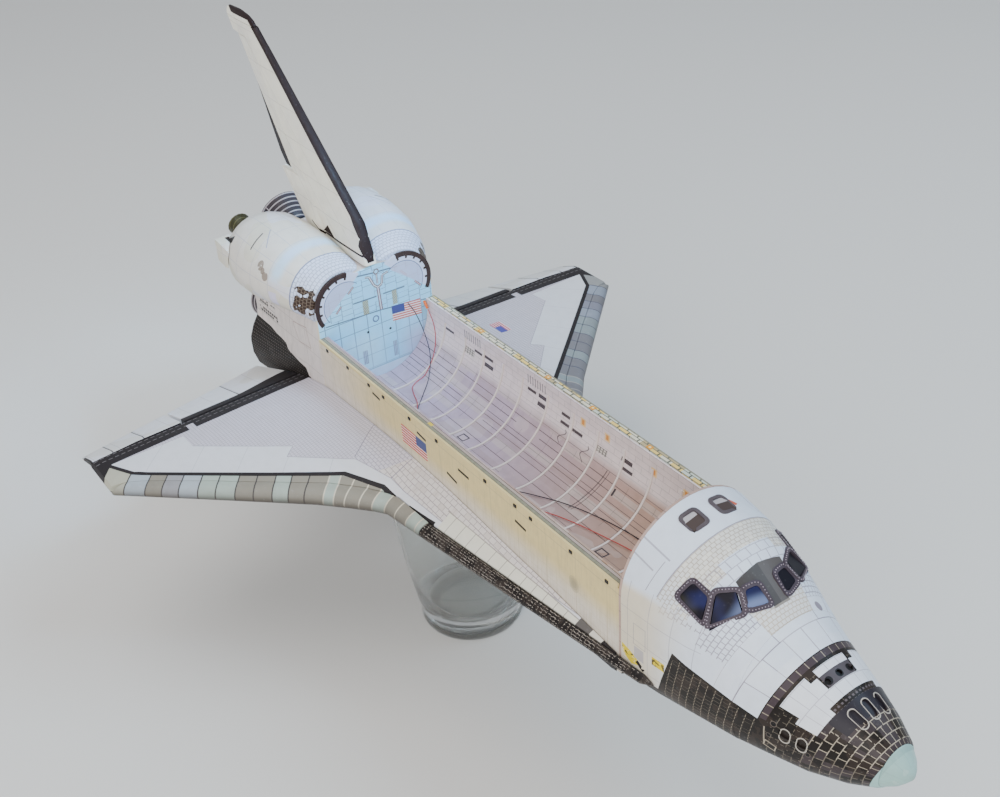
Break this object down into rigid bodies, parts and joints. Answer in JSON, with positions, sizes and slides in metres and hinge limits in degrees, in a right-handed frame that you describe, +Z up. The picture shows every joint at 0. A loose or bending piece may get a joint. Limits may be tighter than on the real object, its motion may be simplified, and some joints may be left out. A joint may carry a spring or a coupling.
{
  "type": "paper scale model of a winged space shuttle on a drinking glass",
  "caption": "Card model of a winged orbiter with an open, doorless payload bay, delta wings, fin, engine bells and pods, standing on a clear glass, with two loose wires in the bay.",
  "frame": {"origin": "on the table, below the middle of the model's overall box", "axes": "+X towards the nose, +Y to the craft's port side, +Z up"},
  "size_m": [0.3688, 0.2378, 0.2224],
  "materials": {
    "white_card": "satin printed card, white tiles with thin grey lines",
    "cream_card": "satin printed card, cream",
    "lavender_card": "satin printed card, pale lavender with a fine grid",
    "lining_card": "matt printed card, pinkish grey panels",
    "blue_card": "matt printed card, pale blue",
    "black_card": "satin printed card, black tiles",
    "dark_card": "satin printed card, dark brown grey",
    "cap_card": "satin printed card, pale green grey",
    "edge_card": "satin printed card, grey, green and tan panels",
    "sill_card": "matt card edge, greenish grey",
    "pane_card": "glossy printed card, very dark blue",
    "bronze_card": "satin printed card, olive bronze",
    "bell_card": "satin printed card, dark with pale hoops",
    "wire_black": "black insulation",
    "wire_red": "red insulation",
    "sleeve_orange": "orange sleeve",
    "clear_glass": "clear polished glass"
  },
  "bodies": {
    "root": {"nose_cap": "cap_card", "forward_module": "black_card", "cabin_shell": "white_card", "window_front_left": "pane_card", "window_front_right": "pane_card", "window_middle_left": "pane_card", "window_middle_right": "pane_card", "window_side_left": "pane_card", "window_side_right": "pane_card", "window_overhead_left": "pane_card", "window_overhead_right": "pane_card", "forward_bulkhead": "lining_card", "mid_fuselage": "cream_card", "bay_liner": "lining_card", "sill_left": "sill_card", "sill_right": "sill_card", "aft_bulkhead": "blue_card", "aft_fuselage": "cream_card", "base_heat_shield": "dark_card", "engine_dome_top": "dark_card", "engine_dome_left": "dark_card", "engine_dome_right": "dark_card", "engine_bell_top": "bell_card", "engine_bell_left": "bell_card", "engine_bell_right": "bell_card", "body_flap": "dark_card", "wing_left": "lavender_card", "wing_right": "lavender_card", "leading_edge_left": "edge_card", "leading_edge_right": "edge_card", "strake_edge_left": "black_card", "strake_edge_right": "black_card", "elevon_inboard_left": "white_card", "elevon_inboard_right": "white_card", "elevon_outboard_left": "white_card", "elevon_outboard_right": "white_card", "vertical_fin": "cream_card", "rudder": "cream_card", "fin_tip": "dark_card", "parachute_housing": "cream_card", "oms_pod_left": "white_card", "oms_pod_right": "white_card", "oms_nozzle_left": "bronze_card", "oms_nozzle_right": "bronze_card", "thruster_box_left": "white_card", "thruster_box_right": "white_card", "wire_black": "wire_black", "wire_red": "wire_red", "wire_sleeve": "sleeve_orange", "glass_stand": "clear_glass"}
  },
  "joints": []
}
